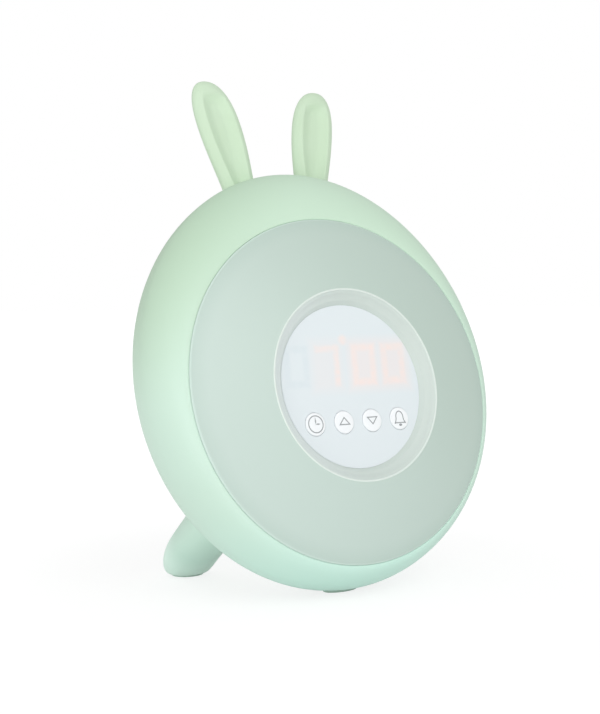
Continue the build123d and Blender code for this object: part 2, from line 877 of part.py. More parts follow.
# ------------------------------------------------------------------ chassis and lamp ring
chassis_back = chassis_depth + chassis_thickness
main_post_u = main_board_width / 2 - main_post_inset
main_post_v = main_board_height / 2 - main_post_inset
main_points = [
    (x * main_post_u, main_board_v + y * main_post_v) for x in (-1, 1) for y in (-1, 1)
]
with BuildPart() as chassis:
    with BuildSketch(face.offset(-chassis_back)):
        Circle(chassis_radius)
        with Locations(*chassis_points, *diffuser_points):
            Circle(small_screw[2] + screw_passage, mode=Mode.SUBTRACT)
        Circle(cable_hole_radius, mode=Mode.SUBTRACT)
    extrude(amount=chassis_thickness)
    with BuildSketch(face.offset(-chassis_depth)):
        Circle(shield_radius)
        Circle(shield_radius - shield_wall, mode=Mode.SUBTRACT)
    extrude(amount=shield_height)
    with BuildSketch(face.offset(-chassis_back)):
        with Locations(*main_points):
            Circle(main_post_radius)
            Circle(small_screw[2] + pilot_play, mode=Mode.SUBTRACT)
    extrude(amount=-main_post_height)
finish(chassis, "chassis")
screws("chassis_screws", face.offset(-chassis_back), chassis_points, small_screw)
screws("diffuser_screws", face.offset(-chassis_back), diffuser_points, small_screw)

with BuildPart() as lamp_board:
    with BuildSketch(face.offset(-chassis_depth)):
        Circle(lamp_board_outer)
        Circle(lamp_board_inner, mode=Mode.SUBTRACT)
    extrude(amount=board_thickness)
finish(lamp_board, "lamp_board")

with BuildPart() as lamp_leds:
    with BuildSketch(face.offset(board_thickness - chassis_depth)):
        with PolarLocations((lamp_board_outer + lamp_board_inner) / 2, led_count):
            Rectangle(led_size, led_size)
    extrude(amount=led_height)
finish(lamp_leds, "lamp_leds")

# ------------------------------------------------------------------ main board
main_front = chassis_back + main_post_height
main_back = main_front + board_thickness
with BuildPart() as main_board:
    with BuildSketch(face.offset(-main_back)):
        with Locations((0, main_board_v)):
            Rectangle(main_board_width, main_board_height)
        with Locations(*main_points):
            Circle(small_screw[2] + screw_passage, mode=Mode.SUBTRACT)
    extrude(amount=board_thickness)
finish(main_board, "main_board")
screws("main_board_screws", face.offset(-main_back), main_points, small_screw)

with BuildPart() as clock_chip:
    with BuildSketch(face.offset(-main_back)):
        with Locations((0, main_board_v)):
            Rectangle(chip_size, chip_size)
    extrude(amount=-chip_height)
finish(clock_chip, "clock_chip")

with BuildPart() as ribbon_cable:
    with BuildSketch(face.offset(-main_front)):
        Rectangle(ribbon_width, ribbon_thickness)
    extrude(amount=main_front + board_back)
finish(ribbon_cable, "ribbon_cable")

# ------------------------------------------------------------------ case screws
screws("case_screws", face.offset(-(seam_depth + case_well_floor)), case_points, case_screw)

# ------------------------------------------------------------------ speaker
with BuildPart() as speaker:
    with BuildSketch(inner_back):
        with Locations((0, speaker_v)):
            Circle(speaker_radius)
    extrude(amount=speaker_rim)
    with BuildSketch(inner_back.offset(speaker_rim)):
        with Locations((0, speaker_v)):
            Circle(speaker_radius - clamp_lap)
    with BuildSketch(inner_back.offset(speaker_depth)):
        with Locations((0, speaker_v)):
            Circle(magnet_radius)
    loft()
finish(speaker, "speaker")

with BuildPart() as speaker_clamp:
    with BuildSketch(inner_back.offset(speaker_rim)):
        with Locations((0, speaker_v)):
            Circle(speaker_wall_radius)
        with Locations(*clamp_lugs):
            Circle(clamp_lug_radius)
        with Locations((0, speaker_v)):
            Circle(speaker_radius - clamp_lap + speaker_gap, mode=Mode.SUBTRACT)
        with Locations(*clamp_lugs):
            Circle(small_screw[2] + screw_passage, mode=Mode.SUBTRACT)
    extrude(amount=clamp_thickness)
finish(speaker_clamp, "speaker_clamp")

clamp_screw = (small_screw[0], small_screw[1], small_screw[2], clamp_thickness + speaker_rim)
screws(
    "speaker_screws", inner_back.offset(speaker_rim + clamp_thickness), clamp_lugs, clamp_screw, side=1
)

# ------------------------------------------------------------------ power socket
with BuildPart() as power_socket:
    with BuildSketch(outer_back):
        with Locations((socket_u, socket_v)):
            Circle(socket_flange_radius)
    extrude(amount=-socket_flange_thickness)
    with BuildSketch(outer_back):
        with Locations((socket_u, socket_v)):
            Circle(socket_radius)
    extrude(amount=socket_length)
    with BuildSketch(outer_back.offset(-socket_flange_thickness)):
        with Locations((socket_u, socket_v)):
            Circle(socket_bore_radius)
            Circle(socket_pin_radius, mode=Mode.SUBTRACT)
    extrude(amount=socket_bore_depth, mode=Mode.SUBTRACT)
finish(power_socket, "power_socket")

with BuildPart() as socket_nut:
    with BuildSketch(inner_back):
        with Locations((socket_u, socket_v)):
            RegularPolygon(socket_nut_radius, 6)
            Circle(socket_radius + socket_gap, mode=Mode.SUBTRACT)
    extrude(amount=socket_nut_thickness)
finish(socket_nut, "socket_nut")

# ------------------------------------------------------------------ batteries and their door
cell_depth = body_depth - bay_depth + bay_floor_gap + cell_radius
cell_heights = [bay_v + (i - (cell_count - 1) / 2) * cell_pitch for i in range(cell_count)]
bay_end = Plane(
    origin=face.from_local_coords(Vector(-cell_length / 2, 0, 0)), x_dir=face.y_dir, z_dir=(1, 0, 0)
)
cell_places = [(v, -cell_depth) for v in cell_heights]
with BuildPart() as battery_cells:
    with BuildSketch(bay_end):
        with Locations(*cell_places):
            Circle(cell_radius)
    extrude(amount=cell_length)
finish(battery_cells, "battery_cells")

with BuildPart() as battery_contacts:
    for start, way in ((0, -1), (cell_length, 1)):
        with BuildSketch(bay_end.offset(start)):
            with Locations(*cell_places):
                Circle(contact_bump_radius)
        extrude(amount=way * (bay_end_gap - contact_thickness))
        with BuildSketch(bay_end.offset(start + way * (bay_end_gap - contact_thickness))):
            with Locations(*cell_places):
                Rectangle(contact_size, contact_size)
        extrude(amount=way * contact_thickness)
finish(battery_contacts, "battery_contacts")

with BuildPart() as battery_door:
    with BuildSketch(outer_back):
        with Locations((0, bay_v)):
            RectangleRounded(door_width, door_height, door_corner)
        with Locations(door_screw_point):
            Circle(door_tab_radius)
            Circle(small_screw[2] + pilot_play, mode=Mode.SUBTRACT)
    extrude(amount=door_thickness)
finish(battery_door, "battery_door")
door_screw = (small_screw[0], small_screw[1], small_screw[2], door_thickness + small_screw[3])
screws("battery_door_screw", outer_back, [door_screw_point], door_screw)
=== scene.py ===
import math

import bpy
from mathutils import Matrix, Vector


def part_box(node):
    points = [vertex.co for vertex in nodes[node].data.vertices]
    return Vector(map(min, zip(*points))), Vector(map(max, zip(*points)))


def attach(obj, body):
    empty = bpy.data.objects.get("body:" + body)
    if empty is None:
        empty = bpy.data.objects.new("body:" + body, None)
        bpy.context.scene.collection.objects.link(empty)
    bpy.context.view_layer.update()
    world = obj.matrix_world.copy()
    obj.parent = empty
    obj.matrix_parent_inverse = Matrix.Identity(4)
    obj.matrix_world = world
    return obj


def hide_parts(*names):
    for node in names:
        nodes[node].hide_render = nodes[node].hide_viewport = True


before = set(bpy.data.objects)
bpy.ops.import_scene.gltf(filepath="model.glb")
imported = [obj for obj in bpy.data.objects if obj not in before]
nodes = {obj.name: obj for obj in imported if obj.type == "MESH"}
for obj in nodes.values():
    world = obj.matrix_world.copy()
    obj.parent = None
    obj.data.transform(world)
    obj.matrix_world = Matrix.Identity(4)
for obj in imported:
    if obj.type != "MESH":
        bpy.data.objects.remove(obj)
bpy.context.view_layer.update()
mm = 0.001

# ------------------------------------------------------------------ front housing
# One egg-shaped moulding of mint plastic with a soft touch. It is widest behind its round mouth,
# rolls over at the lip, and has a ledge inside the mouth that the diffuser sits on.
# Pieces on the face are modelled flat, with u to the right, v up and w out, and then leant back.
face_lean = math.radians(15.25)
face_up = Vector((0, math.sin(face_lean), math.cos(face_lean)))
face_out = Vector((0, -math.cos(face_lean), math.sin(face_lean)))
window_back = 2.2 * mm
window_front = 3.8 * mm
window_low, window_high = (Vector(corner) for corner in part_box("display_window"))
face_centre = (window_low + window_high) / 2 - face_out * (window_back + window_front) / 2
on_face = Matrix(
    (
        (1, 0, 0, face_centre.x),
        (0, face_up.y, face_out.y, face_centre.y),
        (0, face_up.z, face_out.z, face_centre.z),
        (0, 0, 0, 1),
    )
)
mouth_radius = 70.0 * mm
lip_round = 0.5 * mm
belly_half_width = 80.4 * mm
belly_half_height = 86.8 * mm
belly_rise = 8.3 * mm
belly_depth = 17.6 * mm
tail_depth = 56.0 * mm
seam_depth = 38.0 * mm
seam_round = 0.3 * mm
half_rolled = 0.3  # how far in the seam's rounding is at its middle, as a share of its radius
shell_wall = 2.4 * mm
wall_start = 10.56 * mm
front_power = 1.67
rear_power = 2.4
front_loops = 22
back_loops = 12
lip_loops = 4
ledge_depth = 3.4 * mm
ledge_bore = 66.5 * mm
ledge_back = 7.4 * mm
crease_angle = 40


def turns(steps, whole=math.pi / 2):
    """Angles that part a turn into even steps, with both ends."""
    return [whole * step / steps for step in range(steps + 1)]


def flat_circle(radius, height, place=(0, 0)):
    """Half sizes and centre of a circle that lies flat on the face, at a height above it."""
    return (radius, radius, 1), (*place, height)


def body_oval(depth, wall=0.0):
    """Half sizes and centre of the body's oval at a depth behind the mouth."""
    mouth = mouth_radius + lip_round
    if depth < belly_depth:
        run = (belly_depth - depth) / belly_depth
        grow = (1 - run**front_power) ** (1 / front_power)
        wide = mouth + (belly_half_width - mouth) * grow - wall
        high = mouth + (belly_half_height - mouth) * grow - wall
        return (wide, high, 1), (0, belly_rise * grow, -depth)
    run = (depth - belly_depth) / (tail_depth - belly_depth)
    shrink = (1 - run**rear_power) ** (1 / rear_power)
    half_sizes = (belly_half_width * shrink - wall, belly_half_height * shrink - wall, 1)
    return half_sizes, (0, belly_rise, -depth)


class Skin:
    """A skin drawn out from oval to oval, as a loft is. An oval is its half sizes and centre."""

    def __init__(self, name, ovals, sides=160, turn=(0, 0, 0)):
        bpy.ops.object.select_all(action="DESELECT")
        bpy.ops.mesh.primitive_circle_add(vertices=sides, radius=1, rotation=turn)
        bpy.ops.object.transform_apply(location=False, rotation=True, scale=False)
        self.piece = bpy.context.object
        self.piece.name = name
        self.half_sizes = Vector((1, 1, 1))
        self.centre = Vector((0, 0, 0))
        bpy.ops.object.mode_set(mode="EDIT")
        bpy.ops.mesh.select_all(action="SELECT")
        self.shape(*ovals[0])
        for oval in ovals[1:]:
            bpy.ops.mesh.extrude_region_move()
            self.shape(*oval)

    def shape(self, half_sizes, centre):
        """Gives the selected loop its size and place."""
        bpy.ops.transform.translate(value=Vector(centre) - self.centre)
        change = [new / old for new, old in zip(half_sizes, self.half_sizes)]
        bpy.ops.transform.resize(value=change, center_override=centre)
        self.half_sizes = Vector(half_sizes)
        self.centre = Vector(centre)

    def finish(self, ends, place=on_face, smooth=crease_angle):
        """Joins the two open ends or fills them, and puts the piece in its place."""
        bpy.ops.mesh.select_all(action="DESELECT")
        bpy.ops.mesh.select_mode(type="EDGE")
        bpy.ops.mesh.select_non_manifold()
        if ends == "join":
            bpy.ops.mesh.bridge_edge_loops()
        else:
            bpy.ops.mesh.fill_holes(sides=0)
        bpy.ops.mesh.select_all(action="SELECT")
        bpy.ops.mesh.normals_make_consistent(inside=False)
        bpy.ops.object.mode_set(mode="OBJECT")
        settle(self.piece, place, smooth)
        return self.piece


def settle(piece, place, smooth):
    """Puts a finished mesh where it belongs, with its object at the origin."""
    bpy.ops.object.select_all(action="DESELECT")
    piece.select_set(True)
    bpy.context.view_layer.objects.active = piece
    piece.matrix_world = place @ piece.matrix_world
    bpy.ops.object.transform_apply(location=True, rotation=True, scale=True)
    bpy.ops.object.shade_smooth_by_angle(angle=math.radians(smooth))


seam_start = seam_depth - seam_round
shell_ovals = [
    body_oval(seam_depth, seam_round),
    body_oval(seam_depth - seam_round * half_rolled, seam_round * half_rolled),
]
for step in range(back_loops):
    shell_ovals.append(body_oval(seam_start - (seam_start - belly_depth) * step / back_loops))
for roll in turns(front_loops)[:-1]:
    shell_ovals.append(body_oval(belly_depth * (1 - math.sin(roll) ** (2 / front_power))))
for roll in turns(lip_loops):
    lip_radius = mouth_radius + lip_round * (1 - math.sin(roll))
    shell_ovals.append(flat_circle(lip_radius, -lip_round * (1 - math.cos(roll))))
shell_ovals += [
    flat_circle(mouth_radius, -ledge_depth),
    flat_circle(ledge_bore, -ledge_depth),
    flat_circle(ledge_bore, -ledge_back),
    flat_circle(mouth_radius + shell_wall, -ledge_back),
]
for depth in (wall_start, belly_depth, (belly_depth + seam_depth) / 2, seam_depth):
    shell_ovals.append(body_oval(depth, shell_wall))
front_shell = Skin("front_shell", shell_ovals).finish("join")
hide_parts("front_housing")
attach(front_shell, "clock")


class Value:
    """A socket that adds Math nodes when it is used as a number."""

    def __init__(self, finish, socket):
        self.finish = finish
        self.socket = socket

    def math(self, operation, *others):
        values = dict(enumerate((self, *others)))
        return self.finish.node("ShaderNodeMath", {"operation": operation}, values)

    def __add__(self, other):
        return self.math("ADD", other)

    def __sub__(self, other):
        return self.math("SUBTRACT", other)

    def __rsub__(self, other):
        return self.math("MULTIPLY_ADD", -1.0, other)

    def __mul__(self, other):
        return self.math("MULTIPLY", other)

    __radd__ = __add__
    __rmul__ = __mul__

    def fade(self, start, end):
        """1 at start, falling smoothly to 0 at end."""
        return self.finish.node(
            "ShaderNodeMapRange",
            {"interpolation_type": "SMOOTHSTEP"},
            {"Value": self, "From Min": start, "From Max": end, "To Min": 1.0, "To Max": 0.0},
        )


class Finish:
    """A moulded or printed finish: a Principled shader with its colour, gloss and grain."""

    def __init__(self, name, colour, roughness, **sockets):
        self.material = bpy.data.materials.new(name)
        self.material.use_nodes = True
        self.tree = self.material.node_tree
        self.shader = self.tree.nodes["Principled BSDF"]
        self.set("Base Color", colour)
        self.set("Roughness", roughness)
        for socket, value in sockets.items():
            self.set(socket.replace("_", " "), value)
        self.place = self.node("ShaderNodeTexCoord", output="Object")
        self.u = self.along((1, 0, 0))
        self.v = self.along(face_up)

    def node(self, kind, settings=None, values=None, output=0):
        node = self.tree.nodes.new(kind)
        for setting, value in (settings or {}).items():
            setattr(node, setting, value)
        for name, value in (values or {}).items():
            self.join(node.inputs[name], value)
        return Value(self, node.outputs[output])

    def join(self, socket, value):
        if isinstance(value, Value):
            self.tree.links.new(value.socket, socket)
        elif socket.type == "RGBA" and len(value) == 3:
            socket.default_value = (*value, 1)
        else:
            socket.default_value = value

    def set(self, name, value):
        self.join(self.shader.inputs[name], value)

    def along(self, direction):
        """Distance from the face's centre in a direction, in millimetres."""
        offset = self.node(
            "ShaderNodeVectorMath", {"operation": "SUBTRACT"}, {0: self.place, 1: tuple(face_centre)}
        )
        scaled = tuple(Vector(direction) / mm)
        return self.node(
            "ShaderNodeVectorMath", {"operation": "DOT_PRODUCT"}, {0: offset, 1: scaled}, output="Value"
        )

    def from_axis(self, u=0.0, v=0.0):
        """Distance from a line square to the face, in millimetres."""
        across = self.u - u
        up = self.v - v
        return (across * across + up * up).math("SQRT")

    def noise(self, size):
        """Cloudy noise with features of about a size in metres, 0 to 1."""
        return self.node("ShaderNodeTexNoise", None, {"Vector": self.place, "Scale": 1 / size})

    def mix(self, share, first, second):
        """The first colour where the share is 0, the second where it is 1."""
        # Inputs 6 and 7 and output 2 are the ones that this node uses for colours.
        return self.node(
            "ShaderNodeMix",
            {"data_type": "RGBA"},
            {"Factor": share, 6: first, 7: second},
            output=2,
        )

    def cloud(self, size, first, second):
        """Colours the finish in soft clouds of two colours, of about a size in metres."""
        self.set("Base Color", self.mix(self.noise(size), first, second))

    def polish(self, size, low, high):
        """Lets the roughness wander between two values, in patches of a size in metres."""
        self.set("Roughness", self.noise(size) * (high - low) + low)

    def grain(self, size, depth):
        """Fine moulded grain, with the size and depth of its bumps in metres."""
        height = self.noise(size) * depth
        bump = self.node("ShaderNodeBump", None, {"Height": height, "Distance": 1.0, "Strength": 1.0})
        self.set("Normal", bump)

    def wear_on(self, *names):
        """Gives CAD nodes this finish."""
        for name in names:
            for slot in nodes[name].material_slots:
                slot.material = self.material

    def coat(self, piece):
        """Gives a new piece this finish."""
        piece.data.materials.clear()
        piece.data.materials.append(self.material)


def paint(red, green, blue):
    """A colour as a painter's chart gives it, 0 to 255, as light."""
    return tuple(
        (c / 12.92 if c <= 0.04045 else ((c + 0.055) / 1.055) ** 2.4)
        for c in (red / 255, green / 255, blue / 255)
    )


mint_light = paint(208, 233, 218)
mint_deep = paint(203, 229, 213)
crown_painted_shade = paint(204, 230, 208)
chin_painted_light = paint(204, 240, 228)
brow_painted_shade = paint(186, 213, 187)
leg_painted_light = paint(226, 250, 238)
# Where each painted light and shade on the mint is full and where it has gone, in millimetres from the
# face's centre.
crown_shade_reach = (75, -25)
chin_light_reach = (-90, -35)
brow_shade_reach = (-95, -55)
leg_light_reach = (-74, -58)
brow_shade_direction = Vector((0.75, 0, 0)) - face_up * 0.66
brow_shade_share = 0.9
mint = Finish("mint_plastic", mint_light, 0.45, Specular_IOR_Level=0.35)
mint_tone_and_painted_shading = mint.mix(mint.noise(40 * mm), mint_light, mint_deep)
# Painted shade, a little darker and yellower, over the top of the body.
mint_tone_and_painted_shading = mint.mix(mint.v.fade(*crown_shade_reach), mint_tone_and_painted_shading, crown_painted_shade)
# Painted light, paler mint, towards the bottom of the body.
mint_tone_and_painted_shading = mint.mix(mint.v.fade(*chin_light_reach), mint_tone_and_painted_shading, chin_painted_light)
# Painted shade, darker and yellower, towards the upper left edge of the body.
on_brow_shade = mint.along(brow_shade_direction).fade(*brow_shade_reach)
mint_tone_and_painted_shading = mint.mix(on_brow_shade * brow_shade_share, mint_tone_and_painted_shading, brow_painted_shade)
# Painted light, paler mint, on the legs behind the body, where they stand in its shade.
mint_tone_and_painted_shading = mint.mix(mint.along(face_out).fade(*leg_light_reach), mint_tone_and_painted_shading, leg_painted_light)
mint.set("Base Color", mint_tone_and_painted_shading)
mint.polish(0.6 * mm, 0.4, 0.52)
mint.grain(0.35 * mm, 0.004 * mm)
mint.coat(front_shell)

# ------------------------------------------------------------------ rear housing
# The back half of the egg, moulded in the same mint plastic. Four screws in deep wells hold it
# to the front half, and it carries the battery bay, the speaker and the power socket.
mint.wear_on("rear_housing")

steel_bright = paint(206, 207, 209)
steel_dull = paint(178, 180, 183)
steel = Finish("screw_steel", steel_bright, 0.3, Metallic=1.0)
steel.cloud(1.5 * mm, steel_bright, steel_dull)
steel.polish(0.4 * mm, 0.2, 0.45)
steel.wear_on("case_screws")

# ------------------------------------------------------------------ battery bay
# A flat door of the same mint plastic covers three small cells in a row. Springy nickel strips
# join the cells' ends, and one screw holds the door's tab.
mint.wear_on("battery_door")
steel.wear_on("battery_door_screw", "battery_contacts")

wrap_dark = paint(62, 70, 78)
wrap_band = paint(196, 160, 96)
wrap_half_length = 21.0
wrap_edge = 0.3
band_start = 9.0
cell_wrap = Finish("cell_wrap", wrap_dark, 0.3, Coat_Weight=0.3)
wrapped = cell_wrap.u.math("ABSOLUTE").fade(wrap_half_length, wrap_half_length + wrap_edge)
banded = cell_wrap.u.fade(band_start + wrap_edge, band_start)
wrap_colour = cell_wrap.mix(banded, wrap_dark, wrap_band)
cell_wrap.set("Base Color", cell_wrap.mix(wrapped, steel_bright, wrap_colour))
cell_wrap.set("Metallic", 1 - wrapped)
cell_wrap.polish(2 * mm, 0.25, 0.35)
cell_wrap.wear_on("battery_cells")

# ------------------------------------------------------------------ power socket and speaker
# A black round socket is held by a ring nut. Behind the grille a small speaker with a paper cone
# is clamped in its ring by four screws.
coal_light = paint(46, 47, 49)
coal_dark = paint(30, 31, 33)
coal = Finish("black_plastic", coal_dark, 0.5)
coal.cloud(2 * mm, coal_dark, coal_light)
coal.polish(0.5 * mm, 0.42, 0.62)
coal.grain(0.3 * mm, 0.005 * mm)
coal.wear_on("power_socket", "clock_chip")
steel.wear_on("socket_nut", "speaker_screws")

cone_grey = paint(58, 57, 55)
cap_grey = paint(34, 34, 35)
dust_cap_radius = 5.5
dust_cap_edge = 0.5
fibre_share = 0.4
speaker_low, speaker_high = (Vector(corner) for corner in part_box("speaker"))
speaker_v = ((speaker_low + speaker_high) / 2 - face_centre).dot(face_up) / mm
cone = Finish("speaker_paper", cone_grey, 0.8)
on_cap = cone.from_axis(v=speaker_v).fade(dust_cap_radius, dust_cap_radius + dust_cap_edge)
cone_colour = cone.mix(on_cap, cone_grey, cap_grey)
cone.set("Base Color", cone.mix(cone.noise(0.6 * mm) * fibre_share, cone_colour, coal_light))
cone.grain(0.5 * mm, 0.02 * mm)
cone.wear_on("speaker")

# ------------------------------------------------------------------ chassis and boards
# A white chassis stands on the front housing's posts and bounces the lamps' light forwards. It
# carries a ring of lamps, the display board with its switches, and the main board behind.
inner_white = paint(232, 232, 228)
inner_shade = paint(222, 222, 217)
inner = Finish("chassis_plastic", inner_white, 0.6)
inner.cloud(12 * mm, inner_white, inner_shade)
inner.polish(0.8 * mm, 0.5, 0.65)
inner.grain(0.5 * mm, 0.006 * mm)
inner.wear_on("chassis", "speaker_clamp", "digit_module")
inner.wear_on("time_plunger", "up_plunger", "down_plunger", "alarm_plunger")
steel.wear_on("chassis_screws", "main_board_screws", "display_board_screws")

mask_green = paint(38, 104, 66)
mask_light = paint(46, 116, 76)
track_green = paint(66, 138, 92)
track_scale = 0.22
track_width = 0.03
board = Finish("circuit_board", mask_green, 0.35, Coat_Weight=0.2)
board_flat = board.node("ShaderNodeCombineXYZ", None, {"X": board.u, "Y": board.v})
tracks = board.node(
    "ShaderNodeTexBrick",
    {"offset": 0.37, "squash": 0.6},
    {
        "Vector": board_flat,
        "Scale": track_scale,
        "Color1": mask_green,
        "Color2": mask_light,
        "Mortar": track_green,
        "Mortar Size": track_width,
    },
)
board.set("Base Color", tracks)
board.polish(1 * mm, 0.3, 0.4)
board.wear_on("lamp_board", "display_board", "main_board")

wire_pitch = 1.27
wire_edge = -0.6  # of a wave that is 1 on each wire and -1 in the groove beside it
wire_grey = paint(168, 170, 172)
wire_groove_painted_shade = paint(128, 130, 133)
ribbon = Finish("ribbon_wires", wire_grey, 0.5)
# The grooves between the wires are darker: painted shade.
on_wire = (ribbon.u * (2 * math.pi / wire_pitch)).math("COSINE").fade(wire_edge, -1)
ribbon.set("Base Color", ribbon.mix(on_wire, wire_groove_painted_shade, wire_grey))
ribbon.wear_on("ribbon_cable")

switch_metal = paint(190, 192, 195)
switch = Finish("switch_cover", switch_metal, 0.35, Metallic=0.8)
switch.polish(0.5 * mm, 0.3, 0.45)
switch.wear_on("tact_switches")

lamp_warm = paint(250, 240, 214)
lamp_edge = paint(238, 230, 206)
lamp = Finish("lamp_resin", lamp_warm, 0.15, Coat_Weight=0.5)
lamp.cloud(1.5 * mm, lamp_warm, lamp_edge)
lamp.wear_on("lamp_leds", "digit_segments")

# ------------------------------------------------------------------ diffuser
# A shallow dome of milky grey-green plastic with a satin face. A fine bead rings the dish round
# the display, the dome's edge drops into the housing's mouth, and screws hold it from behind.
dome_radius = 217.0 * mm
dome_wall = 2.2 * mm
dome_loops = 26
under_loops = 6
rim_radius = 69.96 * mm
rim_inner = 67.7 * mm
rim_drop = 0.25 * mm
rim_ease = 0.5 * mm
rim_roll = 0.15 * mm
rim_roll_share = 0.4
bead_radius = 38.4 * mm
bead_half_width = 0.35 * mm
bead_height = 0.22 * mm
bead_loops = 6
window_gap = 0.03 * mm
dish_radius = (window_high.x - window_low.x) / 2 + window_gap
dish_chamfer = 0.1 * mm
dish_lip = 0.05 * mm
ridge_radii = (34.5 * mm, 37.0 * mm)
ridge_width = 1.1 * mm
ridge_height = 0.16 * mm
ridge_shape = ((-0.5, 0), (-0.25, 0.8), (0, 1), (0.25, 0.8), (0.5, 0))  # shares of width and height
window_ledge_radius = 31.0 * mm
window_ledge_thickness = 1.5 * mm
skirt_wall = 2.4 * mm
skirt_end = -8.0 * mm


def dome(radius, wall=0.0):
    """Height of the dome's skin above the mouth."""
    base = math.sqrt(dome_radius**2 - mouth_radius**2)
    return math.sqrt((dome_radius - wall) ** 2 - radius**2) - base


dome_profile = [
    (window_ledge_radius, window_back - window_ledge_thickness),
    (window_ledge_radius, window_back),
    (dish_radius, window_back),
    (dish_radius, window_front - dish_chamfer),
    (dish_radius + dish_chamfer, window_front + dish_lip),
]
dish_foot = dome_profile[-1]
dish_top = (bead_radius - bead_half_width, dome(bead_radius))
dish_slope = (dish_top[1] - dish_foot[1]) / (dish_top[0] - dish_foot[0])
for ridge_radius in ridge_radii:
    for offset, rise in ridge_shape:
        radius = ridge_radius + offset * ridge_width
        height = dish_foot[1] + dish_slope * (radius - dish_foot[0]) + rise * ridge_height
        dome_profile.append((radius, height))
dome_profile.append(dish_top)
for roll in turns(bead_loops, math.pi)[1:]:
    radius = bead_radius - bead_half_width * math.cos(roll)
    dome_profile.append((radius, dome(bead_radius) + bead_height * math.sin(roll)))
dome_start = bead_radius + bead_half_width
dome_end = rim_radius - rim_ease
for step in range(1, dome_loops + 1):
    radius = dome_start + (dome_end - dome_start) * step / dome_loops
    dome_profile.append((radius, dome(radius)))
dome_profile += [
    (rim_radius - rim_roll, dome(rim_radius) - rim_drop * rim_roll_share),
    (rim_radius, dome(rim_radius) - rim_drop),
    (rim_radius, -ledge_depth),
    (rim_inner, -ledge_depth),
]
under_end = dish_radius + skirt_wall + dome_wall
for step in range(under_loops + 1):
    radius = rim_inner + (under_end - rim_inner) * step / under_loops
    dome_profile.append((radius, dome(radius, dome_wall)))
dome_profile += [
    (dish_radius + skirt_wall, window_back),
    (dish_radius + skirt_wall, skirt_end),
    (dish_radius, skirt_end),
    (dish_radius, window_back - window_ledge_thickness),
]
dome_ovals = [flat_circle(radius, height) for radius, height in dome_profile]
diffuser_dome = Skin("diffuser_dome", dome_ovals).finish("join", smooth=50)
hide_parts("diffuser")
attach(diffuser_dome, "clock")

milk_painted_lit = paint(197, 214, 206)
milk_painted_shade = paint(190, 208, 198)
dish_painted_lit = paint(222, 231, 229)
dish_painted_shade = paint(205, 216, 210)
bead_painted_highlight = paint(225, 235, 229)
lip_painted_shade = paint(180, 201, 191)
rim_painted_highlight = paint(216, 232, 225)
# Where each painted light, shade and highlight is full and where it has gone, in millimetres: across
# the face from its centre for the milk and the dish, and out from its centre for the rest.
milk_shade_direction = Vector((0.6, 0, 0)) + face_up * 0.5
milk_shade_drift = 25  # how far soft clouds shift where the milk's painted shade fades
milk_shade_reach = (-30, 60)
dish_shade_reach = (-38, 5)
dish_edge = (bead_radius / mm - 0.5, bead_radius / mm - 0.2)
bead_highlight_edge = (0.25, 0.5)
lip_shade_reach = (rim_radius / mm + 1, rim_radius / mm - 8)
lip_shade_share = 0.45
rim_highlight_reach = (rim_radius / mm - 0.2, rim_radius / mm - 0.9)
rim_highlight_share = 0.6
milk = Finish("diffuser_plastic", milk_painted_lit, 0.42, Specular_IOR_Level=0.4)
# Painted light and shade: the dome lighter to the lower left and darker to the upper right.
milk_shade_across = milk.along(milk_shade_direction) + milk.noise(60 * mm) * milk_shade_drift
milk_painted_shading = milk.mix(milk_shade_across.fade(*milk_shade_reach), milk_painted_shade, milk_painted_lit)
# Painted light and shade on the dish: lighter on its left, darker on its right.
dish_painted_shading = milk.mix(milk.u.fade(*dish_shade_reach), dish_painted_shade, dish_painted_lit)
from_centre = milk.from_axis()
milk_painted_shading = milk.mix(from_centre.fade(*dish_edge), milk_painted_shading, dish_painted_shading)
# A painted highlight along the bead.
on_bead_highlight = (from_centre - bead_radius / mm).math("ABSOLUTE").fade(*bead_highlight_edge)
milk_painted_shading = milk.mix(on_bead_highlight, milk_painted_shading, bead_painted_highlight)
# Painted shade in a band just inside the housing's lip.
milk_painted_shading = milk.mix(from_centre.fade(*lip_shade_reach) * lip_shade_share, milk_painted_shading, lip_painted_shade)
# A painted highlight in a thin line at the dome's rim.
milk_painted_shading = milk.mix(from_centre.fade(*rim_highlight_reach) * rim_highlight_share, milk_painted_shading, rim_painted_highlight)
milk.set("Base Color", milk_painted_shading)
milk.polish(0.5 * mm, 0.38, 0.48)
milk.grain(0.3 * mm, 0.003 * mm)
milk.coat(diffuser_dome)
steel.wear_on("diffuser_screws")

# ------------------------------------------------------------------ display window
# A disc of white satin plastic, dropped into the dish of the diffuser. The clock's digits glow
# through it, soft and faint by day. Their places and sizes are in millimetres on the face.
digit_half_width = 4.3
digit_half_height = 6.9
digit_v = 8.4
digit_lean = math.tan(math.radians(4))
blank_u = -24.9
seven_u = -10.2
zero_places = (7.1, 21.8)
bar_half_width = 0.4
bar_blur = 2.0
signal_place = (-1.7, 18.6)
signal_reach = (0.8, 3.0)
halo_reach = 6.5
halo_share = 0.65
seven_halo_share = 0.5
glow_gain = 1.1
glow_loss = 0.05
window_white = paint(227, 235, 238)
digit_glow = paint(248, 231, 225)
digit_halo = paint(242, 232, 230)
digit_ghost = paint(220, 230, 234)

pane = Finish("display_pane", window_white, 0.35)


def digit_frame(place):
    """Distances across and up from a leaning digit's centre."""
    up = pane.v - digit_v
    across = pane.u - place - up * digit_lean
    return across, up


def beyond_digit(place):
    """Distance out from the middle line of a digit's outer bars, and less than 0 inside it."""
    across, up = digit_frame(place)
    beyond_side = across.math("ABSOLUTE") - digit_half_width
    return beyond_side.math("MAXIMUM", up.math("ABSOLUTE") - digit_half_height)


def lit(distance):
    """1 as far out as a lit bar reaches, and 0 past its blur."""
    return distance.fade(bar_half_width, bar_half_width + bar_blur)


